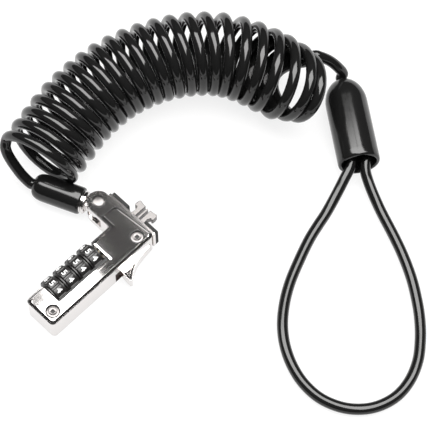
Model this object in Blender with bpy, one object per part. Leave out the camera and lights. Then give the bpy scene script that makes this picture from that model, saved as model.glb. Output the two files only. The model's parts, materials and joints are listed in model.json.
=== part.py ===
"""Cable lock for a portable computer.

A four-dial combination head with a spreading anchor lies face up. A riveted
swivel joins it to a self-coiling jacketed cable, which ends in a crimped loop.

Lengths are in millimetres and are turned into metres where a mesh is made.
Dimensions are measured from the middle of the dial bar, on the head's underside.
The finished assembly is then moved so that the origin is at the middle of the
bottom of the head's own bounding box. +X is the way the anchor points, +Y the
way the swivel arm points, and +Z is up.
"""

import math

import bmesh
import bpy
from mathutils import Matrix, Vector

MM = 0.001
GAP = 0.3
FRAME_SHIFT = (-3.3, -3.8, 0.0)

# Head: an L of a dial bar and a swivel arm
BAR_HALF_LENGTH = 22.0
BAR_HALF_WIDTH = 6.2
HEAD_HEIGHT = 9.8
CORNER_RADIUS = 1.4
ARM_HALF_WIDTH = 3.9
PIVOT_X = BAR_HALF_LENGTH - ARM_HALF_WIDTH
PIVOT_Y = 15.0
HOUSING_TOP = 8.1
COVER_BOTTOM = HOUSING_TOP + GAP
RIM_TOP = 9.2
RIM_INSET = 0.15
PLATEAU_INSET = 1.05
PLATEAU_ARM_END = 10.0
EAR_THICKNESS = 2.6
EAR_START = 10.2
UPPER_EAR_BOTTOM = 7.3

# Dials
DIAL_COUNT = 4
DIAL_PITCH = 5.17
DIAL_FIRST_X = -12.2
DIAL_AXIS_Y = 3.3
DIAL_AXIS_Z = 5.25
DIAL_RADIUS = 5.05
DIAL_GROOVE_RADIUS = 4.55
DIAL_FLANGE_RADIUS = 4.25
DIAL_HALF_WIDTH = 2.4
DIAL_BAND_HALF_WIDTH = 1.75
DIAL_BORE_RADIUS = 2.95
DIGITS = 10
REST_DIGIT_TILT = 10.0
CAM_RADIUS = 2.6
CAM_BORE_RADIUS = 1.55
SPINDLE_RADIUS = 1.2
WINDOW_FOOT_X = -15.1
WINDOW_TIP_X = 6.4
WINDOW_Y = -2.2
BEZEL_Y = -3.1
RAIL_Y = -2.4
DIVIDER_TIP_X = 7.6

# Anchor: two hooked jaws spread by a blade
ANCHOR_Y = 3.1
ANCHOR_Z = 4.9
JAW_HALF_HEIGHT = 1.3
JAW_INNER = 1.1
JAW_OUTER = 2.95
JAW_BARB = 4.15
JAW_TIP_X = 28.6
BARB_START_X = 26.5
JAW_PIN_X = 15.5
JAW_PIN_OFFSET = 2.0
BLADE_HALF_WIDTH = 0.35
FACE_PLATE_X = BAR_HALF_LENGTH + GAP
FACE_PLATE_THICKNESS = 0.7
PAD_X = FACE_PLATE_X + FACE_PLATE_THICKNESS + GAP
PAD_THICKNESS = 0.9

# Trigger
TRIGGER_TRAVEL = 2.2
TRIGGER_BOTTOM = 1.0
TRIGGER_TOP = 5.3
TRIGGER_FOOT_X = 7.2
TRIGGER_TIP_X = 19.9
TRIGGER_INNER_Y = -4.8
CARRIAGE_FOOT_X = 10.2
CARRIAGE_TIP_X = 13.2
CARRIAGE_LOW_Y = -4.5
CARRIAGE_HIGH_Y = 4.7

# Fasteners
SCREW_PLACES = {"cover_screw_foot": (-18.6, -2.7), "cover_screw_tip": (17.8, -2.9)}
SCREW_HEAD_RADIUS = 2.15
SCREW_SHANK_RADIUS = 1.0
RIVET_RADIUS = 1.6
RIVET_HEAD_RADIUS = 2.3

# Swivel and cable
SWIVEL_ANGLE = math.radians(113.3)
SWIVEL_Z = 4.95
TANG_RADIUS = 3.4
TANG_HALF_HEIGHT = 2.05
TANG_NECK_HALF_WIDTH = 1.9
FERRULE_START = 4.3
FERRULE_END = 5.7
FERRULE_RADIUS = 3.7
SLEEVE_START = 6.0
SLEEVE_END = 22.6
SLEEVE_RADIUS = 4.5
CORD_RADIUS = 1.8
CORD_POINT_SPACING = 8.0

# Self-coiling part of the cable
COIL_RADIUS = 13.9
COIL_TURNS = 22.9
COIL_START_ANGLE = math.radians(20.0)
COIL_AXIS = [
    (13.1, 37.4), (22.5, 39.3), (31.9, 41.3), (41.2, 42.1), (50.6, 41.5), (59.5, 39.2), (68.0, 35.4),
    (75.9, 30.0), (82.5, 22.9), (86.7, 14.2), (89.3, 4.8), (92.0, -4.4), (92.7, -6.6),
]
COIL_AXIS_STEPS = 200
COIL_SOLID_START = 0.045
COIL_SOLID_END = 0.925
FIRST_TURN = 0.42

# Route of the cable from the lock-end sleeve to the first turn
LEAD_ROUTE = [
    (8.1, 39.6, 6.4), (8.0, 42.4, 8.9),
    (8.05, 44.7, 11.0), (8.3, 46.7, 13.2), (9.0, 48.0, 15.4),
]

# Loop sleeve, lying on the surface, and the route into it
LOOP_SLEEVE_TOP = (106.0, -8.9)
LOOP_SLEEVE_MOUTH = (87.4, -34.3)
LOOP_SLEEVE_RADIUS = 6.9
LOOP_SLEEVE_Z = 6.9
LOOP_SLEEVE_WALL = 0.8
LOOP_SLEEVE_HOLE = 1.0
LOOP_SLEEVE_DOME = 9.0
CRIMP_START = 6.0
CRIMP_END = 27.0
CRIMP_HALF_WIDTH = 4.6
CRIMP_HALF_HEIGHT = 2.6
LOOP_LEG_OFFSET = 2.5
EXIT_ROUTE = [
    (101.7, 0.2, 17.2), (103.3, -1.5, 16.6), (105.4, -3.9, 14.2), (106.8, -6.3, 11.3), (107.5, -7.9, 8.6),
]

# Route of the loop, out of the sleeve's mouth and back
LOOP_ROUTE = [
    (84.4, -32.8, 6.1), (80.8, -33.9, 5.0), (77.0, -35.0, 3.7), (73.0, -36.1, 2.5), (68.6, -37.3, 1.9),
    (63.8, -38.4, 1.85), (58.2, -39.9, 1.85), (50.9, -42.6, 1.85), (43.4, -45.8, 1.85), (37.0, -49.5, 1.85),
    (31.1, -54.2, 1.85), (26.4, -59.8, 1.85), (23.0, -66.3, 1.85), (21.2, -73.3, 1.85), (21.5, -80.6, 1.85),
    (24.6, -87.8, 1.85), (30.1, -93.2, 1.85), (37.2, -95.9, 1.85), (44.4, -95.6, 1.85), (51.5, -92.9, 1.85),
    (57.6, -88.5, 1.85), (62.7, -83.6, 1.85), (67.0, -78.4, 1.85), (71.3, -72.2, 1.85), (75.2, -65.1, 1.85),
    (78.3, -58.2, 1.85), (81.1, -51.2, 1.85), (82.8, -47.1, 2.1), (84.4, -43.2, 3.1), (86.0, -39.6, 4.4),
    (87.6, -36.8, 5.7),
]


# ---------------------------------------------------------------- scene tools

def clear_scene():
    for item in list(bpy.data.objects):
        bpy.data.objects.remove(item, do_unlink=True)


def make_material(name, colour, roughness, metallic):
    material = bpy.data.materials.new(name)
    material.use_nodes = True
    shader = material.node_tree.nodes["Principled BSDF"]
    shader.inputs["Base Color"].default_value = (*colour, 1.0)
    shader.inputs["Roughness"].default_value = roughness
    shader.inputs["Metallic"].default_value = metallic
    material.diffuse_color = (*colour, 1.0)
    return material


def make_empty(name, place, parent=None):
    """An empty at a place in millimetres, on the axis of what it carries."""
    empty = bpy.data.objects.new(name, None)
    bpy.context.scene.collection.objects.link(empty)
    offset = Vector(place) * MM
    if parent is not None:
        offset -= world_place(parent)
        empty.parent = parent
    empty.location = offset
    return empty


def world_place(item):
    place = item.location.copy()
    while item.parent is not None:
        item = item.parent
        place += item.location
    return place


def make_object(name, shape, material, origin=(0.0, 0.0, 0.0), parent=None, smooth=True):
    """Turn a bmesh in world millimetres into an object whose origin is at the given place."""
    origin = Vector(origin)
    bmesh.ops.translate(shape, verts=shape.verts, vec=-origin)
    bmesh.ops.scale(shape, verts=shape.verts, vec=(MM, MM, MM))
    bmesh.ops.recalc_face_normals(shape, faces=shape.faces)
    mesh = bpy.data.meshes.new(name)
    shape.to_mesh(mesh)
    shape.free()
    mesh.materials.append(material)
    if smooth:
        mesh.shade_smooth()
        mesh.set_sharp_from_angle(angle=math.radians(35.0))
    item = bpy.data.objects.new(name, mesh)
    bpy.context.scene.collection.objects.link(item)
    item.location = origin * MM
    if parent is not None:
        item.location -= world_place(parent)
        item.parent = parent
    return item


def cut(target, shape):
    """Take a bmesh in world millimetres out of an object with an exact Boolean."""
    name = "cutter_%02d_%s" % (len(target.modifiers), target.name)
    cutter = make_object(name, shape, target.data.materials[0], smooth=False)
    cutter.hide_render = True
    cutter.display_type = "WIRE"
    modifier = target.modifiers.new(name, "BOOLEAN")
    modifier.operation = "DIFFERENCE"
    modifier.solver = "EXACT"
    modifier.object = cutter


def add_bevel(item, width, segments=1, angle=40.0):
    modifier = item.modifiers.new("edge_bevel", "BEVEL")
    modifier.width = width * MM
    modifier.segments = segments
    modifier.limit_method = "ANGLE"
    modifier.angle_limit = math.radians(angle)


# --------------------------------------------------------------- shape makers

def box(low, high):
    shape = bmesh.new()
    bmesh.ops.create_cube(shape, size=1.0)
    size = [high[i] - low[i] for i in range(3)]
    middle = [(high[i] + low[i]) / 2 for i in range(3)]
    bmesh.ops.scale(shape, verts=shape.verts, vec=size)
    bmesh.ops.translate(shape, verts=shape.verts, vec=middle)
    return shape


def prism(outline, bottom, top):
    """An upright prism over a flat outline."""
    return loft([[(x, y, z) for x, y in outline] for z in (bottom, top)])


def loft(rings, closed=False):
    """Join rings of equal point counts; end rings are capped unless the loft closes on itself."""
    shape = bmesh.new()
    loops = [[shape.verts.new(point) for point in ring] for ring in rings]
    pairs = list(zip(loops, loops[1:]))
    if closed:
        pairs.append((loops[-1], loops[0]))
    for ring_a, ring_b in pairs:
        for i in range(len(ring_a)):
            j = (i + 1) % len(ring_a)
            shape.faces.new((ring_a[i], ring_a[j], ring_b[j], ring_b[i]))
    if not closed:
        shape.faces.new(list(reversed(loops[0])))
        shape.faces.new(loops[-1])
    return shape


def circle(radius, count, centre=(0.0, 0.0), start=0.0):
    points = []
    for i in range(count):
        angle = start + 2 * math.pi * i / count
        points.append((centre[0] + radius * math.cos(angle), centre[1] + radius * math.sin(angle)))
    return points


def arc(centre, radius, first, last, steps):
    """Points of an arc, angles in degrees."""
    points = []
    for i in range(steps + 1):
        angle = math.radians(first + (last - first) * i / steps)
        points.append((centre[0] + radius * math.cos(angle), centre[1] + radius * math.sin(angle)))
    return points


def cylinder(centre, radius, bottom, top, count=24):
    return prism(circle(radius, count, centre), bottom, top)


def turned(profile, count=24, hollow=False):
    """A body turned about Z from (radius, height) pairs; a hollow one closes on itself."""
    rings = []
    for radius, height in profile:
        rings.append([(x, y, height) for x, y in circle(radius, count)])
    return loft(rings, closed=hollow)


def aim_along(shape, start, direction):
    """Stand a body that was built along +Z at a start point, pointing along a direction."""
    turn = Vector((0, 0, 1)).rotation_difference(Vector(direction).normalized()).to_matrix().to_4x4()
    bmesh.ops.transform(shape, matrix=Matrix.Translation(Vector(start)) @ turn, verts=shape.verts)
    return shape


def along_x(shape, x, y, z):
    """Lay a body that was built along +Z down along +X."""
    return aim_along(shape, (x, y, z), (1, 0, 0))


# --------------------------------------------------------------------- curves

def smooth_points(route, steps=16):
    """Catmull-Rom curve through a route's own points."""
    knots = [Vector(point) for point in route]
    knots = [2 * knots[0] - knots[1]] + knots + [2 * knots[-1] - knots[-2]]
    curve = []
    for i in range(1, len(knots) - 2):
        before, here, after, beyond = knots[i - 1:i + 3]
        for step in range(steps):
            t = step / steps
            curve.append(0.5 * (
                2 * here
                + (after - before) * t
                + (2 * before - 5 * here + 4 * after - beyond) * t * t
                + (3 * here - before - 3 * after + beyond) * t ** 3
            ))
    curve.append(knots[-2])
    return curve


def evenly_spaced(curve, spacing=None, count=None):
    lengths = [0.0]
    for a, b in zip(curve, curve[1:]):
        lengths.append(lengths[-1] + (b - a).length)
    if count is None:
        count = max(3, round(lengths[-1] / spacing) + 1)
    result = []
    index = 0
    for i in range(count):
        wanted = lengths[-1] * i / (count - 1)
        while index < len(lengths) - 2 and lengths[index + 1] < wanted:
            index += 1
        share = (wanted - lengths[index]) / (lengths[index + 1] - lengths[index])
        result.append(curve[index].lerp(curve[index + 1], share))
    return result


def tube_along(name, points, radius, material, sides_resolution=2):
    """A capped round tube as a bevelled curve."""
    curve = bpy.data.curves.new(name, "CURVE")
    curve.dimensions = "3D"
    curve.bevel_depth = radius * MM
    curve.bevel_resolution = sides_resolution
    curve.use_fill_caps = True
    spline = curve.splines.new("POLY")
    spline.points.add(len(points) - 1)
    for place, point in zip(spline.points, points):
        place.co = (point[0] * MM, point[1] * MM, point[2] * MM, 1.0)
    curve.materials.append(material)
    item = bpy.data.objects.new(name, curve)
    bpy.context.scene.collection.objects.link(item)
    return item


def coil_axis():
    return smooth_points([(x, y, COIL_RADIUS) for x, y in COIL_AXIS])


def coil_turn_points(first, last, steps_per_turn=9):
    """Centreline of the coiled cable between two turn counts."""
    axis = evenly_spaced(coil_axis(), count=2 * COIL_AXIS_STEPS + 1)
    radius = COIL_RADIUS - CORD_RADIUS
    count = round((last - first) * steps_per_turn)
    points = []
    for i in range(count + 1):
        turn = first + (last - first) * i / count
        place = turn / COIL_TURNS * (len(axis) - 1)
        index = min(int(place), len(axis) - 2)
        centre = axis[index].lerp(axis[index + 1], place - index)
        forward = (axis[index + 1] - axis[index]).normalized()
        side = Vector((-forward.y, forward.x, 0.0))
        angle = COIL_START_ANGLE + 2 * math.pi * turn
        points.append(centre + radius * (math.cos(angle) * side + Vector((0, 0, math.sin(angle)))))
    return points


# ----------------------------------------------------------------------- head

def head_outline(inset, arm_end=None):
    """Plan of the head: the bar, and the arm with its round end or, as a plateau, cut short."""
    low = -BAR_HALF_WIDTH + inset
    high = BAR_HALF_WIDTH - inset
    foot = -BAR_HALF_LENGTH + inset
    tip = BAR_HALF_LENGTH - inset
    arm_left = PIVOT_X - ARM_HALF_WIDTH + inset
    corner = max(CORNER_RADIUS - inset * 0.6, 0.5)
    points = arc((foot + corner, low + corner), corner, 180, 270, 3)
    points += arc((tip - corner, low + corner), corner, 270, 360, 3)
    if arm_end is None:
        points += arc((PIVOT_X, PIVOT_Y), ARM_HALF_WIDTH - inset, 0, 180, 12)
    else:
        points += arc((tip - corner, arm_end - corner), corner, 0, 90, 3)
        points.append((arm_left, arm_end))
    points.append((arm_left, high))
    points += arc((foot + corner, high - corner), corner, 90, 180, 3)
    return points


def make_housing(metal, head):
    housing = make_object("housing", prism(head_outline(0.0), 0.0, HOUSING_TOP), metal,
                          (PIVOT_X, PIVOT_Y, 0.0), head)
    add_bevel(housing, 0.35, 1, 50.0)
    past = 12.0
    cut(housing, box((WINDOW_FOOT_X, RAIL_Y, -2.0), (WINDOW_TIP_X, past, past)))
    cut(housing, box((DIVIDER_TIP_X, -4.95, 1.2), (13.9, 5.0, past)))
    cut(housing, box((13.7, -0.7, 1.2), (20.8, 6.95, past)))
    cut(housing, box((4.9, -8.0, 0.65), (TRIGGER_TIP_X + GAP, -4.6, TRIGGER_TOP + GAP)))
    cut(housing, box((20.0, ANCHOR_Y - 3.25, 3.3), (24.0, ANCHOR_Y + 3.25, 6.5)))
    cut(housing, box((12.0, EAR_START, EAR_THICKNESS), (24.0, 22.0, past)))
    bore = turned([(1.55, 0.0), (1.55, 7.0)], 16)
    cut(housing, along_x(bore, -21.3, DIAL_AXIS_Y, DIAL_AXIS_Z))
    bush_pocket = turned([(2.45, 0.0), (2.45, 3.2)], 20)
    cut(housing, along_x(bush_pocket, -17.9, DIAL_AXIS_Y, DIAL_AXIS_Z))
    divider_hole = turned([(2.45, 0.0), (2.45, 2.0)], 20)
    cut(housing, along_x(divider_hole, 6.0, DIAL_AXIS_Y, DIAL_AXIS_Z))
    cut(housing, cylinder((PIVOT_X, PIVOT_Y), RIVET_RADIUS + GAP, -1.0, 4.0, 20))
    cut(housing, cylinder((PIVOT_X, PIVOT_Y), RIVET_HEAD_RADIUS + GAP, -1.0, 0.7, 20))
    for place in SCREW_PLACES.values():
        cut(housing, cylinder(place, SCREW_SHANK_RADIUS + GAP, 3.0, past, 12))
    for side in (-1, 1):
        place = (JAW_PIN_X, ANCHOR_Y + side * JAW_PIN_OFFSET)
        cut(housing, cylinder(place, 0.9, 0.5, 2.0, 12))
    cut(housing, box((-14.7, -3.7, 3.1), (6.0, -2.0, 7.4)))


def make_cover(metal, head):
    origin = (PIVOT_X, PIVOT_Y, HEAD_HEIGHT)
    rim = loft([[(x, y, z) for x, y in head_outline(inset)]
                for inset, z in ((0.0, COVER_BOTTOM), (0.0, RIM_TOP - RIM_INSET), (RIM_INSET, RIM_TOP))])
    cover = make_object("cover", rim, metal, origin, head)
    rise = loft([[(x, y, z) for x, y in head_outline(inset, PLATEAU_ARM_END)]
                 for inset, z in ((RIM_INSET * 2, COVER_BOTTOM + 0.2), (RIM_INSET * 2, RIM_TOP),
                                  (PLATEAU_INSET, HEAD_HEIGHT))])
    join(cover, rise)
    ear = [(x, y) for x, y in head_outline(0.0) if y > EAR_START]
    ear += [(PIVOT_X - ARM_HALF_WIDTH, EAR_START), (PIVOT_X + ARM_HALF_WIDTH, EAR_START)]
    join(cover, prism(ear, UPPER_EAR_BOTTOM, COVER_BOTTOM + 0.3))
    past = 12.0
    cut(cover, box((WINDOW_FOOT_X, WINDOW_Y, 5.0), (WINDOW_TIP_X, past, past)))
    cut(cover, box((WINDOW_FOOT_X - 0.5, BEZEL_Y, RIM_TOP + 0.1), (WINDOW_TIP_X, past, past)))
    cut(cover, cylinder((PIVOT_X, PIVOT_Y), RIVET_RADIUS + GAP, 5.0, past, 20))
    cut(cover, cylinder((PIVOT_X, PIVOT_Y), RIVET_HEAD_RADIUS + GAP, 8.9, past, 24))
    for place in SCREW_PLACES.values():
        cut(cover, cylinder(place, SCREW_SHANK_RADIUS + GAP, 5.0, past, 12))
        cut(cover, cylinder(place, SCREW_HEAD_RADIUS + 0.25, 8.75, past, 24))


def join(target, shape):
    """Add a bmesh in world millimetres to an object with an exact Boolean union."""
    name = "joined_%02d_%s" % (len(target.modifiers), target.name)
    added = make_object(name, shape, target.data.materials[0], smooth=False)
    added.hide_render = True
    added.display_type = "WIRE"
    modifier = target.modifiers.new(name, "BOOLEAN")
    modifier.operation = "UNION"
    modifier.solver = "EXACT"
    modifier.object = added


def make_cover_screws(metal, head):
    for name, place in SCREW_PLACES.items():
        head_bottom = 9.05
        profile = [
            (SCREW_SHANK_RADIUS, 4.0), (SCREW_SHANK_RADIUS, head_bottom),
            (SCREW_HEAD_RADIUS, head_bottom), (SCREW_HEAD_RADIUS, 9.75),
            (SCREW_HEAD_RADIUS - 0.2, 9.9), (1.6, 9.9), (1.5, 9.75),
        ]
        screw = turned(profile, 20)
        bmesh.ops.translate(screw, verts=screw.verts, vec=(*place, 0.0))
        item = make_object(name, screw, metal, (*place, head_bottom), head)
        socket = prism(circle(0.85, 4, place, math.radians(20.0)), 9.2, 11.0)
        cut(item, socket)


def make_pivot_rivet(metal, head):
    profile = [
        (1.9, 0.1), (RIVET_HEAD_RADIUS, 0.2), (RIVET_HEAD_RADIUS, 0.4), (RIVET_RADIUS, 0.4),
        (RIVET_RADIUS, 9.2), (RIVET_HEAD_RADIUS, 9.2), (RIVET_HEAD_RADIUS, 9.55),
        (1.9, 9.85), (1.0, 10.0),
    ]
    rivet = turned(profile, 24)
    bmesh.ops.translate(rivet, verts=rivet.verts, vec=(PIVOT_X, PIVOT_Y, 0.0))
    make_object("pivot_rivet", rivet, metal, (PIVOT_X, PIVOT_Y, SWIVEL_Z), head)


def make_face_parts(metal, rubber, head):
    """The anchoring face: a steel plate with two rubber pads on it."""
    x = FACE_PLATE_X
    plate = make_object("face_plate", box((x, -5.2, 0.8), (x + FACE_PLATE_THICKNESS, 14.4, 8.9)),
                        metal, (x, ANCHOR_Y, ANCHOR_Z), head)
    add_bevel(plate, 0.15)
    cut(plate, box((x - 1.0, ANCHOR_Y - 3.25, 3.3), (x + 2.0, ANCHOR_Y + 3.25, 6.5)))
    for name, low, high in (("face_pad_arm", 6.9, 14.1), ("face_pad_corner", -5.4, -0.4)):
        pad = make_object(name, box((PAD_X, low, 1.0), (PAD_X + PAD_THICKNESS, high, 8.6)),
                          rubber, (PAD_X, (low + high) / 2, ANCHOR_Z), head)
        add_bevel(pad, 0.25)


def make_bushes(brass, head):
    for name, x, length in (("spindle_bush_foot", -17.6, 2.1), ("spindle_bush_tip", 6.6, 0.9)):
        ring = turned([(2.15, 0.0), (2.15, length), (1.5, length), (1.5, 0.0)], 20, hollow=True)
        make_object(name, along_x(ring, x, DIAL_AXIS_Y, DIAL_AXIS_Z), brass,
                    (x, DIAL_AXIS_Y, DIAL_AXIS_Z), head)


def make_detent_spring(steel, head):
    """A leaf strip with a tongue for each dial, seen along Y as a comb."""
    tongue_half = 1.4
    outline = [(-14.4, 3.4), (5.7, 3.4), (5.7, 4.3)]
    for k in reversed(range(DIAL_COUNT)):
        x = DIAL_FIRST_X + k * DIAL_PITCH
        outline += [(x + tongue_half, 4.3), (x + tongue_half, 7.0)]
        outline += [(x - tongue_half, 7.0), (x - tongue_half, 4.3)]
    outline.append((-14.4, 4.3))
    rings = [[(x, y, z) for x, z in outline] for y in (-2.7, -3.1)]
    make_object("detent_spring", loft(rings), steel, (DIAL_FIRST_X, -2.9, 4.0), head)


def make_jaw_pins(steel, head):
    for name, side in (("jaw_pin_arm", 1), ("jaw_pin_corner", -1)):
        place = (JAW_PIN_X, ANCHOR_Y + side * JAW_PIN_OFFSET)
        make_object(name, cylinder(place, 0.6, 0.7, 7.9, 12), steel, (*place, ANCHOR_Z), head)


# ---------------------------------------------------------------------- dials

def dial_section(radius_at_digit, radius_between, steps=4):
    """Radii round a dial: a flat land for each digit and a groove between lands."""
    rest = math.radians(REST_DIGIT_TILT)
    sector = 2 * math.pi / DIGITS
    land_half = sector * 0.36
    ring = []
    for k in range(DIGITS):
        middle = rest + k * sector
        for share, radius in ((-0.5, radius_between), (-0.36, radius_at_digit), (0.36, radius_at_digit)):
            angle = middle + share * sector
            if radius == radius_at_digit:
                radius = radius_at_digit / math.cos(land_half) * 0.985
            ring.append((radius * math.sin(angle), radius * math.cos(angle)))
    return ring


def make_dials(plastic, steel, head):
    """Ten-digit dials. Each grips a steel code cam, and both turn about the spindle's axis."""
    for k in range(DIAL_COUNT):
        x = DIAL_FIRST_X + k * DIAL_PITCH
        centre = (x, DIAL_AXIS_Y, DIAL_AXIS_Z)
        axis = make_empty("dial_axis_%d" % (k + 1), centre, head)
        land = dial_section(DIAL_RADIUS, DIAL_GROOVE_RADIUS)
        flange = [Vector(point).normalized() * DIAL_FLANGE_RADIUS for point in land]
        bore = [Vector(point).normalized() * DIAL_BORE_RADIUS for point in land]
        layers = [
            (flange, -DIAL_HALF_WIDTH), (flange, -DIAL_BAND_HALF_WIDTH - 0.15),
            (land, -DIAL_BAND_HALF_WIDTH), (land, DIAL_BAND_HALF_WIDTH),
            (flange, DIAL_BAND_HALF_WIDTH + 0.15), (flange, DIAL_HALF_WIDTH),
            (bore, DIAL_HALF_WIDTH), (bore, -DIAL_HALF_WIDTH),
        ]
        rings = [[(x + offset, DIAL_AXIS_Y + y, DIAL_AXIS_Z + z) for y, z in ring]
                 for ring, offset in layers]
        make_object("dial_%d" % (k + 1), loft(rings, closed=True), plastic, centre, axis)
        half = DIAL_HALF_WIDTH - 0.1
        cam = turned([(CAM_RADIUS, -half), (CAM_RADIUS, half), (CAM_BORE_RADIUS, half),
                      (CAM_BORE_RADIUS, -half)], 20, hollow=True)
        make_object("code_cam_%d" % (k + 1), along_x(cam, *centre), steel, centre, axis)


# -------------------------------------------------------------------- trigger

def make_trigger_parts(chrome, steel, head):
    """Everything the thumb piece pulls towards the foot: carriage, blade and spindle."""
    base = make_empty("trigger_slide_axis", (TRIGGER_FOOT_X, -BAR_HALF_WIDTH, TRIGGER_BOTTOM), head)
    fin = [
        (TRIGGER_FOOT_X, TRIGGER_INNER_Y), (TRIGGER_FOOT_X, -6.4), (6.7, -10.9),
        (7.1, -11.3), (8.0, -11.0), (9.4, -9.8), (11.2, -8.6), (13.2, -7.8),
        (15.6, -7.2), (18.0, -6.8), (TRIGGER_TIP_X, -6.5), (TRIGGER_TIP_X, TRIGGER_INNER_Y),
    ]
    trigger = make_object("trigger", prism(fin, TRIGGER_BOTTOM, TRIGGER_TOP), chrome,
                          (TRIGGER_FOOT_X, -BAR_HALF_WIDTH, TRIGGER_BOTTOM), base)
    add_bevel(trigger, 0.2, 1, 60.0)

    block = box((CARRIAGE_FOOT_X, CARRIAGE_LOW_Y, 1.5), (CARRIAGE_TIP_X, CARRIAGE_HIGH_Y, 7.6))
    carriage = make_object("carriage", block, steel, (CARRIAGE_FOOT_X, ANCHOR_Y, ANCHOR_Z), base)
    add_bevel(carriage, 0.2)

    half = BLADE_HALF_WIDTH
    start = CARRIAGE_TIP_X + GAP
    blade_outline = [
        (start, ANCHOR_Y - half), (JAW_TIP_X - 0.5, ANCHOR_Y - half), (JAW_TIP_X - 0.1, ANCHOR_Y - 0.15),
        (JAW_TIP_X - 0.1, ANCHOR_Y + 0.15), (JAW_TIP_X - 0.5, ANCHOR_Y + half), (start, ANCHOR_Y + half),
    ]
    blade = prism(blade_outline, ANCHOR_Z - 1.15, ANCHOR_Z + 1.15)
    make_object("spreader_blade", blade, steel, (start, ANCHOR_Y, ANCHOR_Z), base)

    length = CARRIAGE_FOOT_X - GAP + 18.9
    profile = [(0.9, 0.0), (SPINDLE_RADIUS, 0.3), (SPINDLE_RADIUS, length)]
    spindle = along_x(turned(profile, 16), -18.9, DIAL_AXIS_Y, DIAL_AXIS_Z)
    make_object("spindle", spindle, steel, (-18.9, DIAL_AXIS_Y, DIAL_AXIS_Z), base)


def make_trigger_spring(steel, head):
    """A compression spring between the divider wall and the carriage."""
    wire = 0.22
    radius = 1.15
    turns = 3
    steps = 12
    first = DIVIDER_TIP_X + GAP + wire
    last = CARRIAGE_FOOT_X - GAP - wire
    centre = (-2.0, ANCHOR_Z)
    rings = []
    count = turns * steps
    for i in range(count + 1):
        angle = 2 * math.pi * i / steps
        x = first + (last - first) * i / count
        ring = []
        for y, z in circle(wire, 5):
            reach = radius + y
            ring.append((x + z, centre[0] + reach * math.cos(angle), centre[1] + reach * math.sin(angle)))
        rings.append(ring)
    make_object("trigger_spring", loft(rings), steel, (first, *centre), head)


def make_jaws(steel, head):
    """Two hooked jaws on pins. They swing towards the blade's axis when it draws back."""
    for name, side in (("jaw_arm", 1), ("jaw_corner", -1)):
        pin = (JAW_PIN_X, ANCHOR_Y + side * JAW_PIN_OFFSET, ANCHOR_Z)
        axis = make_empty(name + "_axis", pin, head)
        outline = [
            (14.3, 0.9), (17.2, 0.9), (18.0, JAW_INNER), (JAW_TIP_X, JAW_INNER),
            (JAW_TIP_X, JAW_BARB - 0.5), (JAW_TIP_X - 0.5, JAW_BARB), (BARB_START_X + 0.3, JAW_BARB),
            (BARB_START_X, JAW_BARB - 0.4), (BARB_START_X, JAW_OUTER), (18.0, JAW_OUTER),
            (17.2, 3.3), (14.3, 3.3),
        ]
        points = [(x, ANCHOR_Y + side * y) for x, y in outline]
        jaw = make_object(name, prism(points, ANCHOR_Z - JAW_HALF_HEIGHT, ANCHOR_Z + JAW_HALF_HEIGHT),
                          steel, pin, axis)
        cut(jaw, cylinder(pin[:2], 0.85, 2.0, 8.0, 12))


# ------------------------------------------------------------ swivel and cable

def swivel_point(distance, z=SWIVEL_Z):
    x = PIVOT_X + distance * math.cos(SWIVEL_ANGLE)
    y = PIVOT_Y + distance * math.sin(SWIVEL_ANGLE)
    return (x, y, z)


def swivel_direction():
    return (math.cos(SWIVEL_ANGLE), math.sin(SWIVEL_ANGLE), 0.0)


def make_swivel_tang(steel, cable):
    half_gap = math.asin(TANG_NECK_HALF_WIDTH / TANG_RADIUS)
    span = math.degrees(half_gap)
    outline = arc((0.0, 0.0), TANG_RADIUS, span, 360.0 - span, 20)
    outline += [(FERRULE_START - GAP, -TANG_NECK_HALF_WIDTH), (FERRULE_START - GAP, TANG_NECK_HALF_WIDTH)]
    tang = prism(outline, -TANG_HALF_HEIGHT, TANG_HALF_HEIGHT)
    place = Matrix.Translation((PIVOT_X, PIVOT_Y, SWIVEL_Z)) @ Matrix.Rotation(SWIVEL_ANGLE, 4, "Z")
    bmesh.ops.transform(tang, matrix=place, verts=tang.verts)
    item = make_object("swivel_tang", tang, steel, (PIVOT_X, PIVOT_Y, SWIVEL_Z), cable)
    cut(item, cylinder((PIVOT_X, PIVOT_Y), RIVET_RADIUS + GAP, 1.0, 9.0, 20))


def make_ferrule(chrome, cable):
    length = FERRULE_END - FERRULE_START
    profile = [
        (FERRULE_RADIUS - 0.5, 0.0), (FERRULE_RADIUS, 0.3),
        (FERRULE_RADIUS, length - 0.2), (FERRULE_RADIUS - 0.2, length),
    ]
    ring = aim_along(turned(profile, 24), swivel_point(FERRULE_START), swivel_direction())
    make_object("ferrule", ring, chrome, swivel_point(FERRULE_START), cable)


def make_cable_sleeve(plastic, cable):
    length = SLEEVE_END - SLEEVE_START
    profile = [
        (SLEEVE_RADIUS - 0.5, 0.0), (SLEEVE_RADIUS, 0.5), (SLEEVE_RADIUS, length - 2.6),
        (SLEEVE_RADIUS - 0.35, length - 1.2), (SLEEVE_RADIUS - 1.1, length - 0.35),
        (SLEEVE_RADIUS - 2.1, length),
    ]
    sleeve = aim_along(turned(profile, 24), swivel_point(SLEEVE_START), swivel_direction())
    make_object("cable_sleeve", sleeve, plastic, swivel_point(SLEEVE_START), cable)


def loop_sleeve_frame():
    start = Vector((*LOOP_SLEEVE_TOP, LOOP_SLEEVE_Z))
    end = Vector((*LOOP_SLEEVE_MOUTH, LOOP_SLEEVE_Z))
    return start, (end - start).normalized(), (end - start).length


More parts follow.
